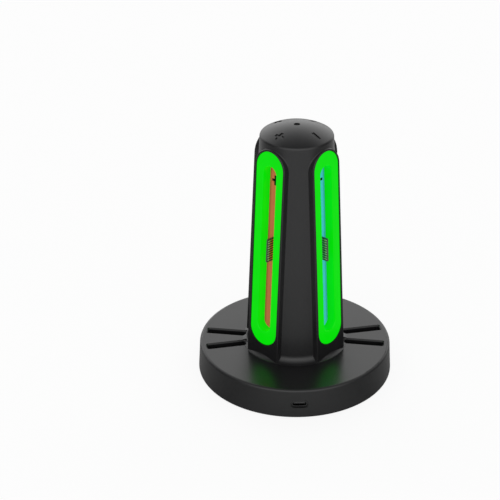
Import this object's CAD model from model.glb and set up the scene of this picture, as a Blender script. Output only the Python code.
# %% [markdown]
# # A charging dock in black plastic and green light
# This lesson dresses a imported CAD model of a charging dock: a round base, a tapered tower and four lit
# stations. The shapes are already right, so almost all the work here is light and finish. The first cell
# loads the model as a fixed frame and keeps its box, because dressing must not make the object any
# bigger.

from math import asin, cos, pi, radians, sin

import bmesh
import bpy
from mathutils import Matrix, Vector


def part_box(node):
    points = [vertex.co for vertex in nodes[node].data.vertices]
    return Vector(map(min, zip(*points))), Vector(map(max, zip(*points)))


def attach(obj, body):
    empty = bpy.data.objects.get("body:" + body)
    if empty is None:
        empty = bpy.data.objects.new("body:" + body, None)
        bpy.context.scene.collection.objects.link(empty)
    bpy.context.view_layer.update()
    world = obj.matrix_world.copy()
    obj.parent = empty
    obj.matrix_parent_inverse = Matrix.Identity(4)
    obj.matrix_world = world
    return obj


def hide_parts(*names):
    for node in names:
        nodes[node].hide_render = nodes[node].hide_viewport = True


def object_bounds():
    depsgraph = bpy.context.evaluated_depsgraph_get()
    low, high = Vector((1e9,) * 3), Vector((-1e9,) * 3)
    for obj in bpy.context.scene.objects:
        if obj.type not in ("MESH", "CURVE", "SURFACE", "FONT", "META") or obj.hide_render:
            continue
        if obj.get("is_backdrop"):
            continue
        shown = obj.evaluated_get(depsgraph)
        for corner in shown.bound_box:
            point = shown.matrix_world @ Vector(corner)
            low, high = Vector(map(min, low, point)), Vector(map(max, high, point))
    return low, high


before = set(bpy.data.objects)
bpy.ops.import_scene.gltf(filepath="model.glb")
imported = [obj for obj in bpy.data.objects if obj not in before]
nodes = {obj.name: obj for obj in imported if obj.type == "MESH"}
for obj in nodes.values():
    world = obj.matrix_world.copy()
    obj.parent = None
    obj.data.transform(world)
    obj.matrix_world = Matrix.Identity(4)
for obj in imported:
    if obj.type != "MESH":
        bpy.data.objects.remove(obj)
cad_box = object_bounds()
print("nodes:", len(nodes), "box:", [tuple(round(c, 4) for c in corner) for corner in cad_box])

# %% [markdown]
# ## The stations' geometry
# Every station leans with the tower wall by a few degrees. Materials and signs both need to know how
# deep a point lies below a station's face, so the few sizes that say so are written once, in metres.

# %% Sizes of the stations
STATIONS = {"front_left": 225.0, "front_right": 315.0, "back_left": 135.0, "back_right": 45.0}
ORANGE_STATIONS = ("front_left", "back_left")
LEAN = radians(3.08)
RING_Z = 0.08926
RING_DISTANCE = 0.02542
GROOVE_DEPTH = 0.006


def station_matrix(angle, depth=0.0):
    """Local X across a station, Y up the tower and Z outward, at a depth below its face."""
    turn = radians(angle)
    across = Vector((-sin(turn), cos(turn), 0.0))
    outward = Vector((cos(turn) * cos(LEAN), sin(turn) * cos(LEAN), sin(LEAN)))
    upward = outward.cross(across)
    origin = Vector((cos(turn) * RING_DISTANCE, sin(turn) * RING_DISTANCE, RING_Z)) - outward * depth
    matrix = Matrix.Identity(4)
    for column, axis in enumerate((across, upward, outward, origin)):
        matrix.col[column].xyz = axis
    return matrix


for station, angle in STATIONS.items():
    centre = station_matrix(angle).translation
    low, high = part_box(f"light_ring_{station}")
    face = tuple(round(c * 1000, 1) for c in centre)
    print(station, "face centre", face, "ring top mm", round(high.z * 1000, 1))

# %% [markdown]
# ## The camera
# The photograph was fitted with a pinhole camera: about 0.9 m away, looking down by 28 degrees, and
# turned a little to the right. A long lens keeps the tower's sides nearly parallel. The dock stands
# right of the middle of the picture, and a small sideways shift gives that framing without turning the
# camera.

# %% Camera
PICTURE_PIXELS = 500
FOCAL_PIXELS = 1446.7
SHIFT_PIXELS = -18.4
LOOK_DOWN = radians(28.42)
LOOK_ASIDE = radians(-1.895)
camera_data = bpy.data.cameras.new("camera")
camera_data.sensor_width = 36.0
camera_data.lens = FOCAL_PIXELS / PICTURE_PIXELS * camera_data.sensor_width
camera_data.shift_x = SHIFT_PIXELS / PICTURE_PIXELS
camera_data.clip_start = 0.05
camera_data.clip_end = 30.0
camera = bpy.data.objects.new("camera", camera_data)
camera.location = (-0.04112, -0.75381, 0.4885)
camera.rotation_euler = (radians(90) - LOOK_DOWN, 0.0, LOOK_ASIDE)
bpy.context.scene.collection.objects.link(camera)
bpy.context.scene.camera = camera
print("camera", round(camera.location.length, 3), "m from the origin")
print("lens", round(camera_data.lens, 1), "mm")

# %% [markdown]
# ## Small helpers
# Every finish below is a node tree. A few short functions keep those trees readable: one makes a node
# and sets or links its sockets, one makes a Math node, one makes a smooth step between two values, and
# one starts a material. Another makes a node group with named sockets through the group's interface, for
# effects that several materials share.


# %% Helpers for groups and materials
def new_group(name, inputs, outputs):
    """A shader node group with sockets {name: (type, default)} in and {name: type} out."""
    group = bpy.data.node_groups.new(name, "ShaderNodeTree")
    for label, (kind, default) in inputs.items():
        socket = group.interface.new_socket(label, in_out="INPUT", socket_type=kind)
        socket.default_value = default
    for label, kind in outputs.items():
        group.interface.new_socket(label, in_out="OUTPUT", socket_type=kind)
    start = group.nodes.new("NodeGroupInput")
    end = group.nodes.new("NodeGroupOutput")
    return group, start, end


def add_node(tree, kind, operation=None, **values):
    """A node with some of its sockets set; a socket that is given another socket is linked to it."""
    node = tree.nodes.new(kind)
    if operation:
        node.operation = operation
    for label, value in values.items():
        key = int(label[1:]) if label[0] == "_" else label.replace("_", " ")
        socket = node.inputs[key]
        if isinstance(value, bpy.types.NodeSocket):
            tree.links.new(value, socket)
        else:
            socket.default_value = value
    return node


def math(tree, operation, first, second=0.0, third=0.0):
    """The output of one Math node."""
    return add_node(tree, "ShaderNodeMath", operation, _0=first, _1=second, _2=third).outputs[0]


def smooth_step(tree, value, begin, finish, first=0.0, last=1.0):
    """The output of a smooth step from first to last, as the value goes from begin to finish."""
    step = add_node(tree, "ShaderNodeMapRange", Value=value, From_Min=begin, From_Max=finish)
    step.inputs["To Min"].default_value = first
    step.inputs["To Max"].default_value = last
    step.interpolation_type = "SMOOTHSTEP"
    return step.outputs[0]


def new_material(name):
    """A material with one Principled shader; returns the material, its tree and the shader."""
    material = bpy.data.materials.new(name)
    material.use_nodes = True
    tree = material.node_tree
    return material, tree, tree.nodes["Principled BSDF"]


print("helpers ready")

# %% [markdown]
# ## The studio
# Black plastic shows almost nothing but what it mirrors, so the surroundings are the real paint here.
# The room is white, brightest at a third of the way up and dim overhead, which makes the dome fade from
# pale at its back to dark at its front. Low down at the left and right it is dark, as behind the black
# cards that photographers stand beside a glossy thing to draw its flanks. High up at the sides it is a
# little dimmer too. A weak soft box in front lifts the rounded edges.

# %% Room light
scene = bpy.context.scene
scene.view_settings.view_transform = "Standard"
world = bpy.data.worlds.new("white_room")
scene.world = world
world.use_nodes = True
room = world.node_tree
room.nodes.clear()
ROOM_PEAK = 1.66
ROOM_BRIGHTNESS = {0.0: 1.28, 0.3: 1.54, 0.5: 1.66, 0.66: 1.42, 0.82: 1.0, 0.92: 0.62, 1.0: 0.28}
gaze = add_node(room, "ShaderNodeTexCoord").outputs["Generated"]
split = add_node(room, "ShaderNodeSeparateXYZ", _0=gaze)
fade = add_node(room, "ShaderNodeValToRGB", Fac=split.outputs["Z"])
stops = fade.color_ramp.elements
stops[1].position = 1.0
for stop_height in list(ROOM_BRIGHTNESS)[1:-1]:
    stops.new(stop_height)
for stop, brightness in zip(stops, ROOM_BRIGHTNESS.values()):
    stop.color = (*[brightness / ROOM_PEAK] * 3, 1.0)
print("room brightness by height:", ROOM_BRIGHTNESS)

# %% Black cards and dimmer upper sides
CARD_DEPTH = 0.88
CARD_SIDES = (0.25, 0.85)
CARD_HEIGHTS = (0.5, 0.85)
TOP_DEPTH = 0.55
TOP_SIDES = (0.5, 0.95)
TOP_HEIGHTS = (0.74, 0.88)
height = split.outputs["Z"]
level = add_node(room, "ShaderNodeVectorMath", "MULTIPLY", _0=gaze, _1=(1.0, 1.0, 0.0)).outputs[0]
level_length = add_node(room, "ShaderNodeVectorMath", "LENGTH", _0=level).outputs["Value"]
facing = math(room, "DIVIDE", math(room, "ABSOLUTE", split.outputs["Y"]), level_length)
sideways = smooth_step(room, facing, *CARD_SIDES, 1.0, 0.0)
low = smooth_step(room, height, *CARD_HEIGHTS, 1.0, 0.0)
card_shade = math(room, "MULTIPLY_ADD", math(room, "MULTIPLY", sideways, low), -CARD_DEPTH, 1.0)
wide_side = smooth_step(room, facing, *TOP_SIDES, 1.0, 0.0)
high_up = smooth_step(room, height, *TOP_HEIGHTS)
top_shade = math(room, "MULTIPLY_ADD", math(room, "MULTIPLY", wide_side, high_up), -TOP_DEPTH, 1.0)
side_shade = math(room, "MULTIPLY", card_shade, top_shade)
strength = math(room, "MULTIPLY", side_shade, ROOM_PEAK)
glow = add_node(room, "ShaderNodeBackground", Color=fade.outputs["Color"], Strength=strength)
add_node(room, "ShaderNodeOutputWorld", Surface=glow.outputs[0])
print("card depth", CARD_DEPTH, "depth of the upper sides", TOP_DEPTH)

# %% Soft box
box_data = bpy.data.lights.new("soft_box", "AREA")
box_data.shape = "RECTANGLE"
box_data.size = 1.8
box_data.size_y = 0.6
box_data.energy = 1.4
soft_box = bpy.data.objects.new("soft_box", box_data)
soft_box.location = (-0.2, -2.2, 1.05)
aim = Vector((0.0, 0.0, 0.06)) - soft_box.location
soft_box.rotation_euler = aim.to_track_quat("-Z", "Y").to_euler()
scene.collection.objects.link(soft_box)
print("soft box", round(aim.length, 2), "m away")

# %% [markdown]
# The floor is white paper. A share of it glows for camera rays, so the background stays white, and the
# rest is plain diffuse white, which keeps the dock's soft shadow. Mirror rays see a dimmer paper than
# the camera does: lit in front, and darker to the sides and behind. Its tones were fitted to what the
# black plastic mirrors in the photograph, so they stand for that studio's floor and not for the white
# background.

# %% Paper floor
FLOOR_RADIUS = 4.0
floor_mesh = bpy.data.meshes.new("paper_floor")
floor_bm = bmesh.new()
bmesh.ops.create_circle(floor_bm, cap_ends=True, radius=FLOOR_RADIUS, segments=96)
floor_bm.to_mesh(floor_mesh)
floor_bm.free()
floor = bpy.data.objects.new("paper_floor", floor_mesh)
scene.collection.objects.link(floor)
print("floor radius", FLOOR_RADIUS, "m")

# %% Paper for the camera and for mirrors
paper = bpy.data.materials.new("white_paper")
paper.use_nodes = True
tree = paper.node_tree
tree.nodes.clear()
FAR_OUT = (0.08, 0.25)
CAMERA_GLOW = 0.89
MIRROR_GLOW = 0.08
ray = add_node(tree, "ShaderNodeLightPath").outputs
mirrored = math(tree, "MAXIMUM", ray["Is Glossy Ray"], ray["Is Transmission Ray"])
place = add_node(tree, "ShaderNodeTexCoord").outputs["Object"]
from_axis = add_node(tree, "ShaderNodeVectorMath", "LENGTH", _0=place).outputs["Value"]
ahead = add_node(tree, "ShaderNodeSeparateXYZ", _0=place).outputs["Y"]
facing = math(tree, "DIVIDE", ahead, from_axis)
front_share = math(tree, "MULTIPLY_ADD", facing, -0.5, 0.5)
far_out = smooth_step(tree, from_axis, *FAR_OUT)
wider_front = math(tree, "MULTIPLY_ADD", far_out, 0.07, front_share)
side_dim = add_node(tree, "ShaderNodeValToRGB", Fac=wider_front)
PAPER_FOR_MIRRORS = {0.0: 0.45, 0.5: 0.27, 0.83: 0.26, 0.92: 0.5, 0.98: 0.72, 1.0: 0.75}
stops = side_dim.color_ramp.elements
for share in list(PAPER_FOR_MIRRORS)[1:-1]:
    stops.new(share)
for stop, tone in zip(stops, PAPER_FOR_MIRRORS.values()):
    stop.color = (tone, tone, tone, 1.0)
PAPER_WHITE = 0.94
far_gain = math(tree, "MULTIPLY_ADD", far_out, 0.35, 1.0)
mirror_tone = math(tree, "MULTIPLY", side_dim.outputs["Color"], far_gain)
dimmer = math(tree, "SUBTRACT", mirror_tone, PAPER_WHITE)
paper_tone = math(tree, "MULTIPLY_ADD", mirrored, dimmer, PAPER_WHITE)
fibre = add_node(tree, "ShaderNodeTexNoise", Vector=place, Scale=900.0)
fibre_tone = add_node(tree, "ShaderNodeMapRange", Value=fibre.outputs[0], To_Min=0.98, To_Max=1.02)
paper_colour = math(tree, "MULTIPLY", paper_tone, fibre_tone.outputs[0])
matt = add_node(tree, "ShaderNodeBsdfDiffuse", Color=paper_colour)
white = add_node(tree, "ShaderNodeEmission", Strength=1.0)
mirror_glow = math(tree, "MULTIPLY", mirrored, MIRROR_GLOW)
glow_share = math(tree, "MULTIPLY_ADD", ray["Is Camera Ray"], CAMERA_GLOW, mirror_glow)
mix = add_node(tree, "ShaderNodeMixShader", _0=glow_share, _1=matt.outputs[0], _2=white.outputs[0])
add_node(tree, "ShaderNodeOutputMaterial", Surface=mix.outputs[0])
floor_mesh.materials.append(paper)
floor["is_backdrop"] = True
print("paper:", paper.name)

# %% [markdown]
# ## Finishes from shared effects
# Several finishes share an effect: the fine grain that a spark-eroded mould leaves on plastic, and the
# polish that hands give to edges. Each effect is one node group with named sockets, so a material only
# sets its own values.

# %% [markdown]
# ### Moulded grain
# A mould is etched so that plastic parts don't show sink marks or fingerprints. The result is a dense
# field of shallow pits a few tenths of a millimetre wide. A cell texture could draw each pit, and plain
# noise could blur them into clouds. Here two noises are added, one for the pits and one for slow changes
# in gloss.

# %% Moulded grain group
grain, start, end = new_group(
    "moulded_grain",
    {"Pit Size": ("NodeSocketFloat", 0.0003), "Patch Size": ("NodeSocketFloat", 0.02)},
    {"Height": "NodeSocketFloat", "Patch": "NodeSocketFloat"},
)
place = add_node(grain, "ShaderNodeTexCoord").outputs["Object"]
pit_scale = math(grain, "DIVIDE", 1.0, start.outputs["Pit Size"])
patch_scale = math(grain, "DIVIDE", 1.0, start.outputs["Patch Size"])
pits = add_node(grain, "ShaderNodeTexNoise", Vector=place, Scale=pit_scale, Detail=2.0, Roughness=0.55)
patches = add_node(grain, "ShaderNodeTexNoise", Vector=place, Scale=patch_scale, Detail=3.0, Roughness=0.5)
grain.links.new(pits.outputs[0], end.inputs["Height"])
grain.links.new(patches.outputs[0], end.inputs["Patch"])
print("group", grain.name, [s.name for s in grain.interface.items_tree])

# %% [markdown]
# ### Rubbed edges
# Hands and cloths polish the edges of a thing first. The Bevel node rounds the shading normal near an
# edge, so where it differs from the true normal there is an edge. The mask is that difference, broken up
# by a little noise.

# %% Rubbed edges group
rubbed, start, end = new_group(
    "rubbed_edges",
    {"Reach": ("NodeSocketFloat", 0.0006), "Amount": ("NodeSocketFloat", 1.0)},
    {"Mask": "NodeSocketFloat"},
)
rounded = add_node(rubbed, "ShaderNodeBevel", Radius=start.outputs["Reach"])
rounded.samples = 4
true_normal = add_node(rubbed, "ShaderNodeNewGeometry").outputs["Normal"]
likeness = add_node(rubbed, "ShaderNodeVectorMath", "DOT_PRODUCT", _0=rounded.outputs[0], _1=true_normal)
unlike = math(rubbed, "SUBTRACT", 1.0, likeness.outputs["Value"])
place = add_node(rubbed, "ShaderNodeTexCoord").outputs["Object"]
breaks = add_node(rubbed, "ShaderNodeTexNoise", Vector=place, Scale=350.0, Detail=3.0)
edge = math(rubbed, "MULTIPLY", unlike, 6.0)
broken = math(rubbed, "MULTIPLY", edge, breaks.outputs[0])
weighed = add_node(rubbed, "ShaderNodeMath", "MULTIPLY", _0=broken, _1=start.outputs["Amount"])
weighed.use_clamp = True
rubbed.links.new(weighed.outputs[0], end.inputs["Mask"])
print("group", rubbed.name, [s.name for s in rubbed.interface.items_tree])

# %% [markdown]
# ### Place in a groove
# Light thins out as it goes down into a groove, and the floor takes colour from the walls. Both need to
# know how deep a point lies, how far up the station it is and how far from the groove's middle line. The
# four stations are alike on the diagonals, so the absolute values of X and Y fold them onto one, and one
# group serves all of them.

# %% Groove place group
groove, start, end = new_group(
    "groove_place",
    {},
    {"Depth": "NodeSocketFloat", "Along": "NodeSocketFloat", "Across": "NodeSocketFloat"},
)
DIAGONAL = cos(radians(45))
place = add_node(groove, "ShaderNodeTexCoord").outputs["Object"]
point = add_node(groove, "ShaderNodeSeparateXYZ", _0=place)
fold_x = math(groove, "ABSOLUTE", point.outputs["X"])
fold_y = math(groove, "ABSOLUTE", point.outputs["Y"])
reach = math(groove, "MULTIPLY", math(groove, "ADD", fold_x, fold_y), DIAGONAL)
aside = math(groove, "MULTIPLY", math(groove, "SUBTRACT", fold_x, fold_y), DIAGONAL)
rise = math(groove, "SUBTRACT", point.outputs["Z"], RING_Z)
short_of_face = math(groove, "SUBTRACT", RING_DISTANCE, reach)
depth_part = math(groove, "MULTIPLY", short_of_face, cos(LEAN))
depth = math(groove, "MULTIPLY_ADD", rise, -sin(LEAN), depth_part)
along_part = math(groove, "MULTIPLY", rise, cos(LEAN))
along = math(groove, "MULTIPLY_ADD", short_of_face, sin(LEAN), along_part)
groove.links.new(depth, end.inputs["Depth"])
groove.links.new(along, end.inputs["Along"])
groove.links.new(aside, end.inputs["Across"])
print("group", groove.name, [s.name for s in groove.interface.items_tree])

# %% [markdown]
# ### Rolled metal
# Sheet metal carries fine lines from rolling or from the tool that formed it. A noise stretched along
# one axis gives such lines; it drives roughness and a very small bump. The port's shell, the screws and
# the contacts all use it.

# %% Rolled metal group
rolled, start, end = new_group(
    "rolled_metal",
    {"Line Width": ("NodeSocketFloat", 0.0001), "Roughness": ("NodeSocketFloat", 0.25)},
    {"Roughness": "NodeSocketFloat", "Height": "NodeSocketFloat"},
)
place = add_node(rolled, "ShaderNodeTexCoord").outputs["Object"]
stretched = add_node(rolled, "ShaderNodeMapping", Vector=place, Scale=(1.0, 0.04, 1.0)).outputs[0]
line_scale = math(rolled, "DIVIDE", 1.0, start.outputs["Line Width"])
lines = add_node(rolled, "ShaderNodeTexNoise", Vector=stretched, Scale=line_scale, Detail=2.0)
spread = math(rolled, "MULTIPLY_ADD", lines.outputs[0], 0.24, -0.12)
metal_roughness = math(rolled, "ADD", spread, start.outputs["Roughness"])
rolled.links.new(metal_roughness, end.inputs["Roughness"])
rolled.links.new(lines.outputs[0], end.inputs["Height"])
print("group", rolled.name, [s.name for s in rolled.interface.items_tree])

# %% [markdown]
# ## Black moulded plastic
# The base, tower and cap are one black plastic with a fine, half-matt mould texture. Its own colour is
# nearly nothing; what is seen is the white room mirrored in a blurred way. So the colour stays very dark
# and the roughness does the work: a little lower on rubbed edges, and changing slowly over the surface.


# %% Plastic material builder
def moulded_plastic(name, colour, worn_colour, roughness, pit_size, bump, rub=1.0, specular=0.5):
    """A moulded plastic: dark or light colour, grain bump, slow changes in gloss and polished edges."""
    material, tree, shader = new_material(name)
    texture = add_node(tree, "ShaderNodeGroup")
    texture.node_tree = grain
    texture.inputs["Pit Size"].default_value = pit_size
    wear = add_node(tree, "ShaderNodeGroup")
    wear.node_tree = rubbed
    wear.inputs["Amount"].default_value = rub
    tone = add_node(tree, "ShaderNodeMix")
    tone.data_type = "RGBA"
    tone.inputs["A"].default_value = (*colour, 1.0)
    tone.inputs["B"].default_value = (*worn_colour, 1.0)
    tree.links.new(wear.outputs["Mask"], tone.inputs["Factor"])
    patchy = add_node(tree, "ShaderNodeMapRange")
    patchy.inputs["From Min"].default_value = 0.3
    patchy.inputs["From Max"].default_value = 0.7
    patchy.inputs["To Min"].default_value = roughness - 0.02
    patchy.inputs["To Max"].default_value = roughness + 0.02
    tree.links.new(texture.outputs["Patch"], patchy.inputs["Value"])
    polished = math(tree, "MULTIPLY_ADD", wear.outputs["Mask"], -0.06, patchy.outputs[0])
    relief = add_node(tree, "ShaderNodeBump", Distance=0.00002, Strength=bump)
    tree.links.new(texture.outputs["Height"], relief.inputs["Height"])
    tree.links.new(tone.outputs["Result"], shader.inputs["Base Color"])
    tree.links.new(polished, shader.inputs["Roughness"])
    tree.links.new(relief.outputs[0], shader.inputs["Normal"])
    shader.inputs["Specular IOR Level"].default_value = specular
    return material


SHELL_BLACK = (0.0084, 0.0084, 0.0089)
SHELL_RUBBED = (0.016, 0.016, 0.0165)
shell_plastic = moulded_plastic("shell_plastic", SHELL_BLACK, SHELL_RUBBED, 0.3, 0.00025, 0.35, 1.0, 0.43)
TONGUE_GREY = (0.045, 0.042, 0.045)
TONGUE_RUBBED = (0.07, 0.066, 0.068)
tongue_plastic = moulded_plastic("tongue_plastic", TONGUE_GREY, TONGUE_RUBBED, 0.38, 0.0002, 0.3)
chip_plastic = moulded_plastic("chip_plastic", (0.02, 0.02, 0.022), (0.04, 0.04, 0.042), 0.5, 0.0001, 0.4)
socket_plastic = moulded_plastic("socket_plastic", (0.66, 0.63, 0.55), (0.7, 0.68, 0.62), 0.42, 0.0003, 0.2)
PORT_GREY = (0.055, 0.055, 0.057)
PORT_RUBBED = (0.07, 0.07, 0.07)
port_plastic = moulded_plastic("port_plastic", PORT_GREY, PORT_RUBBED, 0.45, 0.0002, 0.2, 1.0, 0.3)
print("plastics:", [m.name for m in bpy.data.materials if "plastic" in m.name])

# %% [markdown]
# ## Rubber feet
# The pads are cast rubber: no gloss to speak of, a slightly grey bloom, and dust pressed into the face.
# The same grain group at a coarser pit size gives the cast skin.

# %% Foot rubber
RUBBER_BLACK = (0.018, 0.018, 0.018)
RUBBER_DUSTY = (0.05, 0.048, 0.045)
foot_rubber = moulded_plastic("foot_rubber", RUBBER_BLACK, RUBBER_DUSTY, 0.78, 0.0006, 0.8, 1.4, 0.3)
print("foot rubber:", foot_rubber.name)

# %% [markdown]
# ## The light rings
# Each ring is a moulded guide of clouded acrylic with small lamps behind it. It glows evenly, a shade
# deeper where the groove goes down and a shade paler over each lamp. Subsurface scatter would need lamps
# that really shine through; an emission that follows depth is steadier and exports. The skin is only
# faintly glossy, so its green stays pure.

# %% Light guide
LAMP_PITCH = 0.022
light_guide, tree, shader = new_material("light_guide")
place = add_node(tree, "ShaderNodeGroup")
place.node_tree = groove
texture = add_node(tree, "ShaderNodeGroup")
texture.node_tree = grain
texture.inputs["Pit Size"].default_value = 0.0004
texture.inputs["Patch Size"].default_value = 0.012
depth_fade = add_node(tree, "ShaderNodeValToRGB")
depth_fade.color_ramp.elements[0].color = (0.0003, 0.70, 0.0005, 1.0)
depth_fade.color_ramp.elements[1].color = (0.0003, 0.62, 0.0005, 1.0)
depth_share = add_node(tree, "ShaderNodeMapRange", From_Min=0.0, From_Max=GROOVE_DEPTH)
tree.links.new(place.outputs["Depth"], depth_share.inputs["Value"])
tree.links.new(depth_share.outputs[0], depth_fade.inputs["Fac"])
lamp_phase = math(tree, "MULTIPLY", place.outputs["Along"], 2 * pi / LAMP_PITCH)
lamp_wave = math(tree, "COSINE", lamp_phase)
cloud = math(tree, "MULTIPLY_ADD", texture.outputs["Patch"], 0.06, 0.965)
lamp_tone = math(tree, "MULTIPLY_ADD", lamp_wave, 0.008, cloud)
glow_colour = add_node(tree, "ShaderNodeVectorMath", "SCALE")
tree.links.new(depth_fade.outputs["Color"], glow_colour.inputs[0])
tree.links.new(lamp_tone, glow_colour.inputs["Scale"])
tree.links.new(glow_colour.outputs[0], shader.inputs["Emission Color"])
shader.inputs["Emission Strength"].default_value = 1.0
skin = add_node(tree, "ShaderNodeMapRange", To_Min=0.2, To_Max=0.28)
tree.links.new(texture.outputs["Patch"], skin.inputs["Value"])
tree.links.new(skin.outputs[0], shader.inputs["Roughness"])
body_tone = add_node(tree, "ShaderNodeMix")
body_tone.data_type = "RGBA"
body_tone.inputs["A"].default_value = (0.001, 0.05, 0.002, 1.0)
body_tone.inputs["B"].default_value = (0.002, 0.07, 0.003, 1.0)
tree.links.new(texture.outputs["Patch"], body_tone.inputs["Factor"])
tree.links.new(body_tone.outputs["Result"], shader.inputs["Base Color"])
shader.inputs["Specular IOR Level"].default_value = 0.1
print("light guide glows", [round(c, 3) for c in depth_fade.color_ramp.elements[0].color[:3]])

# %% [markdown]
# ## The coloured groove floors
# A strip of orange or blue plastic lies at the bottom of each groove, so that a user sees which
# controller goes where. It sits in green light from both walls and is lit a little from behind. The
# lamps' share is a weak emission of its own colour, and the room's share comes from the plain diffuse
# colour.


# %% Floor strips
def lit_strip(name, colour, lit_colour):
    """A coloured strip with fine grain, lit through weakly and darker where it meets the walls."""
    material, tree, shader = new_material(name)
    place = add_node(tree, "ShaderNodeGroup")
    place.node_tree = groove
    texture = add_node(tree, "ShaderNodeGroup")
    texture.node_tree = grain
    texture.inputs["Pit Size"].default_value = 0.0003
    texture.inputs["Patch Size"].default_value = 0.008
    off_middle = math(tree, "ABSOLUTE", place.outputs["Across"])
    edge_share = add_node(tree, "ShaderNodeMapRange", Value=off_middle, From_Min=0.003, From_Max=0.0048)
    edge_share.inputs["To Min"].default_value = 1.0
    edge_share.inputs["To Max"].default_value = 0.5
    cloud = math(tree, "MULTIPLY_ADD", texture.outputs["Patch"], 0.1, 0.95)
    shade = math(tree, "MULTIPLY", edge_share.outputs[0], cloud)
    for socket, tone in (("Base Color", colour), ("Emission Color", lit_colour)):
        shaded = add_node(tree, "ShaderNodeVectorMath", "SCALE", _0=tone)
        tree.links.new(shade, shaded.inputs["Scale"])
        tree.links.new(shaded.outputs[0], shader.inputs[socket])
    relief = add_node(tree, "ShaderNodeBump", Distance=0.00002, Strength=0.3)
    tree.links.new(texture.outputs["Height"], relief.inputs["Height"])
    tree.links.new(relief.outputs[0], shader.inputs["Normal"])
    shader.inputs["Emission Strength"].default_value = 1.0
    shader.inputs["Roughness"].default_value = 0.5
    shader.inputs["Specular IOR Level"].default_value = 0.2
    return material


rail_orange = lit_strip("rail_orange", (0.48, 0.095, 0.045), (0.145, 0.052, 0.022))
rail_blue = lit_strip("rail_blue", (0.05, 0.42, 0.54), (0.02, 0.14, 0.20))
print("strips:", rail_orange.name, rail_blue.name)

# %% [markdown]
# ## Metal: the port's shell, the screws and the contacts
# The port's shell is stamped and has a dark plating, and the screws are zinc plated. Both are metals
# with rolled lines, so one builder makes them with their own colour and roughness.


# %% Metals
def plated_metal(name, colour, tarnish, roughness, line_width):
    """A plated metal with rolled lines and a slow tarnish."""
    material, tree, shader = new_material(name)
    texture = add_node(tree, "ShaderNodeGroup")
    texture.node_tree = rolled
    texture.inputs["Line Width"].default_value = line_width
    texture.inputs["Roughness"].default_value = roughness
    patch = add_node(tree, "ShaderNodeGroup")
    patch.node_tree = grain
    patch.inputs["Patch Size"].default_value = 0.003
    tone = add_node(tree, "ShaderNodeMix")
    tone.data_type = "RGBA"
    tone.inputs["A"].default_value = (*colour, 1.0)
    tone.inputs["B"].default_value = (*tarnish, 1.0)
    tree.links.new(patch.outputs["Patch"], tone.inputs["Factor"])
    relief = add_node(tree, "ShaderNodeBump", Distance=0.000004, Strength=0.5)
    tree.links.new(texture.outputs["Height"], relief.inputs["Height"])
    tree.links.new(tone.outputs["Result"], shader.inputs["Base Color"])
    tree.links.new(texture.outputs["Roughness"], shader.inputs["Roughness"])
    tree.links.new(relief.outputs[0], shader.inputs["Normal"])
    shader.inputs["Metallic"].default_value = 1.0
    return material


port_metal = plated_metal("port_metal", (0.105, 0.105, 0.108), (0.085, 0.085, 0.087), 0.3, 0.0001)
screw_steel = plated_metal("screw_steel", (0.55, 0.55, 0.56), (0.42, 0.42, 0.40), 0.35, 0.0002)
print("metals:", port_metal.name, screw_steel.name)

# %% [markdown]
# ### Contact strips
# The contact strips are gilt. In the photograph they are pale near the blade's outer edge and brown or
# green deep in the groove, most likely because the outer part mirrors the pale room over the groove's
# lip and the deep part mirrors the groove. The dimmed floor of this scene can't give that pale mirror
# image, so the finish itself changes with depth: paler and half metallic outside, full gold inside. It
# is fitted to the photograph's view, and isn't wear.

# %% Contact strips
gilt_contact, tree, shader = new_material("gilt_contact")
texture = add_node(tree, "ShaderNodeGroup")
texture.node_tree = rolled
texture.inputs["Line Width"].default_value = 0.00008
texture.inputs["Roughness"].default_value = 0.34
place = add_node(tree, "ShaderNodeGroup")
place.node_tree = groove
sunk = add_node(tree, "ShaderNodeMapRange", From_Min=0.0021, From_Max=0.0026)
tree.links.new(place.outputs["Depth"], sunk.inputs["Value"])
gilding = add_node(tree, "ShaderNodeMix")
gilding.data_type = "RGBA"
gilding.inputs["A"].default_value = (0.60, 0.48, 0.42, 1.0)
gilding.inputs["B"].default_value = (0.78, 0.47, 0.22, 1.0)
tree.links.new(sunk.outputs[0], gilding.inputs["Factor"])
tree.links.new(gilding.outputs["Result"], shader.inputs["Base Color"])
tree.links.new(texture.outputs["Roughness"], shader.inputs["Roughness"])
metal_share = add_node(tree, "ShaderNodeMapRange", To_Min=0.4, To_Max=1.0)
tree.links.new(sunk.outputs[0], metal_share.inputs["Value"])
tree.links.new(metal_share.outputs[0], shader.inputs["Metallic"])
print("contacts:", gilt_contact.name)

# %% [markdown]
# ## The small parts inside
# A lens closes the hole at the top of the dome: smoked plastic, dark grey and a little dull. Inside are
# circuit boards with a green mask over copper tracks, white lamp bodies and grey flat leads. They are
# hidden when the dock is whole, but a part in a library is also seen taken apart, so they get their own
# finishes.

# %% Smoked lens
smoked_lens, tree, shader = new_material("smoked_lens")
texture = add_node(tree, "ShaderNodeGroup")
texture.node_tree = grain
texture.inputs["Patch Size"].default_value = 0.001
gloss = add_node(tree, "ShaderNodeMapRange", To_Min=0.12, To_Max=0.22)
tree.links.new(texture.outputs["Patch"], gloss.inputs["Value"])
tree.links.new(gloss.outputs[0], shader.inputs["Roughness"])
smoke = add_node(tree, "ShaderNodeMix")
smoke.data_type = "RGBA"
smoke.inputs["A"].default_value = (0.135, 0.135, 0.14, 1.0)
smoke.inputs["B"].default_value = (0.155, 0.153, 0.156, 1.0)
tree.links.new(texture.outputs["Patch"], smoke.inputs["Factor"])
tree.links.new(smoke.outputs["Result"], shader.inputs["Base Color"])
shader.inputs["Specular IOR Level"].default_value = 0.03
print("lens:", smoked_lens.name)

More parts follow.
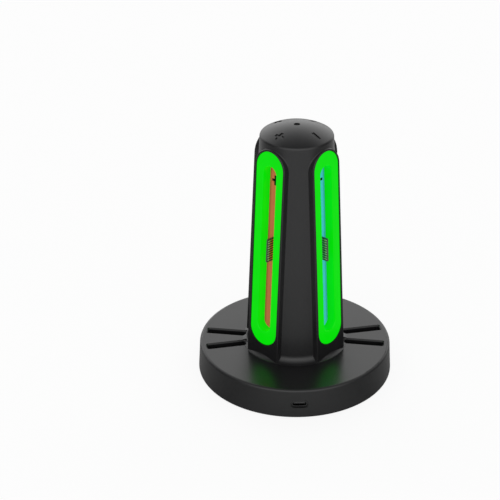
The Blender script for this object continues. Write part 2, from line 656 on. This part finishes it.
# %% Circuit board
circuit_board, tree, shader = new_material("circuit_board")
place = add_node(tree, "ShaderNodeTexCoord").outputs["Object"]
tracks = add_node(tree, "ShaderNodeTexVoronoi", Vector=place, Scale=420.0)
tracks.distance = "CHEBYCHEV"
track_mask = add_node(tree, "ShaderNodeMapRange", From_Min=0.42, From_Max=0.46)
tree.links.new(tracks.outputs["Distance"], track_mask.inputs["Value"])
mask_tone = add_node(tree, "ShaderNodeMix")
mask_tone.data_type = "RGBA"
mask_tone.inputs["A"].default_value = (0.008, 0.07, 0.022, 1.0)
mask_tone.inputs["B"].default_value = (0.02, 0.14, 0.045, 1.0)
tree.links.new(track_mask.outputs[0], mask_tone.inputs["Factor"])
tree.links.new(mask_tone.outputs["Result"], shader.inputs["Base Color"])
relief = add_node(tree, "ShaderNodeBump", Distance=0.00003, Strength=0.5)
tree.links.new(track_mask.outputs[0], relief.inputs["Height"])
tree.links.new(relief.outputs[0], shader.inputs["Normal"])
board_gloss = add_node(tree, "ShaderNodeMapRange", To_Min=0.28, To_Max=0.4)
tree.links.new(track_mask.outputs[0], board_gloss.inputs["Value"])
tree.links.new(board_gloss.outputs[0], shader.inputs["Roughness"])
print("board:", circuit_board.name)

# %% Lamp bodies and leads
WIRE_PITCH = 0.001
led_package = moulded_plastic("led_package", (0.82, 0.80, 0.68), (0.85, 0.84, 0.78), 0.3, 0.0002, 0.1)
lead_ribbon, tree, shader = new_material("lead_ribbon")
place = add_node(tree, "ShaderNodeGroup")
place.node_tree = groove
wires = math(tree, "SINE", math(tree, "MULTIPLY", place.outputs["Across"], 2 * pi / WIRE_PITCH))
wire_share = math(tree, "MULTIPLY_ADD", wires, 0.5, 0.5)
ribbon_tone = add_node(tree, "ShaderNodeMix")
ribbon_tone.data_type = "RGBA"
ribbon_tone.inputs["A"].default_value = (0.22, 0.22, 0.23, 1.0)
ribbon_tone.inputs["B"].default_value = (0.36, 0.36, 0.37, 1.0)
tree.links.new(wire_share, ribbon_tone.inputs["Factor"])
tree.links.new(ribbon_tone.outputs["Result"], shader.inputs["Base Color"])
relief = add_node(tree, "ShaderNodeBump", Distance=0.0003, Strength=0.8)
tree.links.new(wire_share, relief.inputs["Height"])
tree.links.new(relief.outputs[0], shader.inputs["Normal"])
shader.inputs["Roughness"].default_value = 0.5
print("lamp bodies and leads:", led_package.name, lead_ribbon.name)

# %% [markdown]
# ## Dress the model
# Each CAD piece keeps its shape and takes the finish of its record slot. Its list of materials is
# emptied and one finish goes in, so that every face of a piece has the same one.

# %% Assign finishes
FINISH_OF_PIECE = {
    "base_cover": shell_plastic,
    "base_plate": shell_plastic,
    "tower_shell": shell_plastic,
    "top_cap": shell_plastic,
    "indicator_lens": smoked_lens,
    "base_screws": screw_steel,
    "tower_screws": screw_steel,
    "main_board": circuit_board,
    "board_parts": chip_plastic,
    "lead_sockets": socket_plastic,
    "power_port_shell": port_metal,
    "power_port_tongue": port_plastic,
}
for station in STATIONS:
    FINISH_OF_PIECE[f"foot_{station}"] = foot_rubber
    FINISH_OF_PIECE[f"light_ring_{station}"] = light_guide
    FINISH_OF_PIECE[f"rail_floor_{station}"] = rail_orange if station in ORANGE_STATIONS else rail_blue
    FINISH_OF_PIECE[f"contact_tongue_{station}"] = tongue_plastic
    FINISH_OF_PIECE[f"contact_pins_{station}"] = gilt_contact
    FINISH_OF_PIECE[f"station_board_{station}"] = circuit_board
    FINISH_OF_PIECE[f"station_leds_{station}"] = led_package
    FINISH_OF_PIECE[f"station_lead_{station}"] = lead_ribbon
for name, finish in FINISH_OF_PIECE.items():
    piece = nodes[name]
    piece.data.materials.clear()
    piece.data.materials.append(finish)
undressed = sorted(set(nodes) - set(FINISH_OF_PIECE))
print("dressed", len(FINISH_OF_PIECE), "of", len(nodes), "pieces; left:", undressed)

# %% [markdown]
# ## Signs in the grooves
# A black plus or minus is printed near the top of each groove floor. It could be drawn by a texture, but
# a thin film of ink as its own small mesh keeps a crisp edge at any distance. Each bar is a flat box.

# %% Sign ink
sign_ink, tree, shader = new_material("sign_ink")
texture = add_node(tree, "ShaderNodeGroup")
texture.node_tree = grain
texture.inputs["Pit Size"].default_value = 0.0002
ink = add_node(tree, "ShaderNodeMix")
ink.data_type = "RGBA"
ink.inputs["A"].default_value = (0.001, 0.001, 0.001, 1.0)
ink.inputs["B"].default_value = (0.004, 0.004, 0.004, 1.0)
tree.links.new(texture.outputs["Height"], ink.inputs["Factor"])
tree.links.new(ink.outputs["Result"], shader.inputs["Base Color"])
shader.inputs["Roughness"].default_value = 0.6
shader.inputs["Specular IOR Level"].default_value = 0.1
print("ink:", sign_ink.name)


# %% Groove signs
def bar_mesh(bm, length, width, thickness, matrix):
    """One flat bar along local X, its underside on the local XY plane."""
    made = bmesh.ops.create_cube(bm, size=1.0)
    shape = Matrix.Translation((0, 0, thickness / 2)) @ Matrix.Diagonal((length, width, thickness, 1.0))
    bmesh.ops.transform(bm, matrix=matrix @ shape, verts=made["verts"])


SIGN_HEIGHT = 0.0427
SIGN_LENGTH = 0.006
SIGN_WIDTH = 0.0015
PLUS_ASIDE = -0.0006
INK_THICKNESS = 0.00006
for station, angle in STATIONS.items():
    on_floor = station_matrix(angle, GROOVE_DEPTH) @ Matrix.Translation((0, SIGN_HEIGHT, 0))
    bm = bmesh.new()
    bar_mesh(bm, SIGN_LENGTH, SIGN_WIDTH, INK_THICKNESS, on_floor)
    if station in ORANGE_STATIONS:
        upright = on_floor @ Matrix.Translation((PLUS_ASIDE, 0, 0)) @ Matrix.Rotation(radians(90), 4, "Z")
        bar_mesh(bm, SIGN_LENGTH, SIGN_WIDTH, INK_THICKNESS, upright)
    mesh = bpy.data.meshes.new(f"groove_sign_{station}")
    bm.to_mesh(mesh)
    bm.free()
    mesh.materials.append(sign_ink)
    sign = bpy.data.objects.new(f"groove_sign_{station}", mesh)
    scene.collection.objects.link(sign)
    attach(sign, "root")
    print(sign.name, len(mesh.polygons), "faces")

# %% [markdown]
# ## The cap and its sunk signs
# The dome repeats the grooves' plus or minus over each station, sunk into the plastic by raised bars in
# the mould. A texture could darken such bars, but only real walls look right from every side. The packed
# cap is plain, so its section is turned again on a lathe, finely enough to stay smooth beside the cuts,
# and a boolean sinks the bars.

# %% Lathe the cap
CAP_RADIUS = 0.0213
CAP_EDGE_HEIGHT = 0.0013
CAP_EDGE_RADIUS = 0.002
CAP_WALL = 0.002
DOME_RISE = 0.0061
LENS_HOLE = 0.0018
SPIGOT_RADIUS = 0.01895
SPIGOT_WALL = 0.0016
SPIGOT_LENGTH = 0.003
LATHE_STEPS = 240
rim_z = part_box("tower_shell")[1].z
dome_radius = (CAP_RADIUS**2 + DOME_RISE**2) / (2 * DOME_RISE)
dome_centre_z = rim_z + CAP_EDGE_HEIGHT + DOME_RISE - dome_radius


def arc(centre, radius, first, last, count):
    """Points on an arc in the section plane; angles are measured from straight up, outward."""
    angles = [first + (last - first) * k / count for k in range(count + 1)]
    return [(centre[0] + radius * sin(a), centre[1] + radius * cos(a)) for a in angles]


edge_r = CAP_RADIUS - CAP_EDGE_RADIUS
edge_turn = asin(edge_r / (dome_radius - CAP_EDGE_RADIUS))
edge_z = dome_centre_z + (dome_radius - CAP_EDGE_RADIUS) * cos(edge_turn)
inner_dome = dome_radius - CAP_WALL
spigot_inner = SPIGOT_RADIUS - SPIGOT_WALL
section = arc((0.0, dome_centre_z), dome_radius, asin(LENS_HOLE / dome_radius), edge_turn, 28)
section += arc((edge_r, edge_z), CAP_EDGE_RADIUS, edge_turn, radians(90), 10)[1:]
section += [(CAP_RADIUS, rim_z), (SPIGOT_RADIUS, rim_z), (SPIGOT_RADIUS, rim_z - SPIGOT_LENGTH)]
section += [(spigot_inner, rim_z - SPIGOT_LENGTH)]
inner_start = asin(spigot_inner / inner_dome)
inner_end = asin(LENS_HOLE / inner_dome)
section += arc((0.0, dome_centre_z), inner_dome, inner_start, inner_end, 12)
bm = bmesh.new()
profile = [bm.verts.new((r, 0.0, z)) for r, z in section]
loop = [bm.edges.new((a, b)) for a, b in zip(profile, profile[1:] + profile[:1])]
turned = profile + loop
bmesh.ops.spin(bm, geom=turned, axis=(0, 0, 1), cent=(0, 0, 0), steps=LATHE_STEPS, angle=radians(360))
bmesh.ops.remove_doubles(bm, verts=bm.verts, dist=1e-7)
bmesh.ops.recalc_face_normals(bm, faces=bm.faces)
cap_mesh = bpy.data.meshes.new("cap_with_signs")
bm.to_mesh(cap_mesh)
bm.free()
cap = bpy.data.objects.new("cap_with_signs", cap_mesh)
scene.collection.objects.link(cap)
print("lathed cap:", len(cap_mesh.polygons), "faces, from", len(section), "points")

# %% Sink the signs
CAP_SIGN_REACH = 0.0147
CAP_SIGN_LENGTH = 0.0060
CAP_SIGN_WIDTH = 0.0019
CAP_SIGN_DEPTH = 0.0006
slope = asin(CAP_SIGN_REACH / dome_radius)
bm = bmesh.new()
for station, angle in STATIONS.items():
    to_dome = Matrix.Translation((0, 0, dome_centre_z)) @ Matrix.Rotation(radians(angle), 4, "Z")
    bar_floor = Matrix.Translation((0, 0, dome_radius - CAP_SIGN_DEPTH))
    to_dome = to_dome @ Matrix.Rotation(slope, 4, "Y") @ bar_floor
    bar_mesh(bm, CAP_SIGN_LENGTH, CAP_SIGN_WIDTH, 4 * CAP_SIGN_DEPTH, to_dome)
    if station in ORANGE_STATIONS:
        crossing = to_dome @ Matrix.Rotation(radians(90), 4, "Z")
        bar_mesh(bm, CAP_SIGN_LENGTH, CAP_SIGN_WIDTH, 4 * CAP_SIGN_DEPTH, crossing)
cutter_mesh = bpy.data.meshes.new("sign_bars")
bm.to_mesh(cutter_mesh)
bm.free()
cutter = bpy.data.objects.new("sign_bars", cutter_mesh)
scene.collection.objects.link(cutter)
sink = cap.modifiers.new("sunk_signs", "BOOLEAN")
sink.object = cutter
sink.operation = "DIFFERENCE"
sink.solver = "EXACT"
sink.use_self = True
sunk_mesh = bpy.data.meshes.new_from_object(cap.evaluated_get(bpy.context.evaluated_depsgraph_get()))
cap.modifiers.remove(sink)
bpy.data.objects.remove(cutter)
cap.data = sunk_mesh
sunk_mesh.materials.clear()
sunk_mesh.materials.append(shell_plastic)
sunk_mesh.shade_smooth()
sunk_mesh.set_sharp_from_angle(angle=radians(30))
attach(cap, "root")
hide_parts("top_cap")
print("cap with signs:", len(sunk_mesh.polygons), "faces")

# %% [markdown]
# ## Hand over
# The last cell compares the dressed box with the CAD box and hands the scene over.

# %% Sizes and finish
visual_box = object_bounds()
growth = max(abs(a - b) for c, v in zip(cad_box, visual_box) for a, b in zip(c, v))
print("visual box differs from the CAD box by", round(growth * 1000, 3), "mm at most")
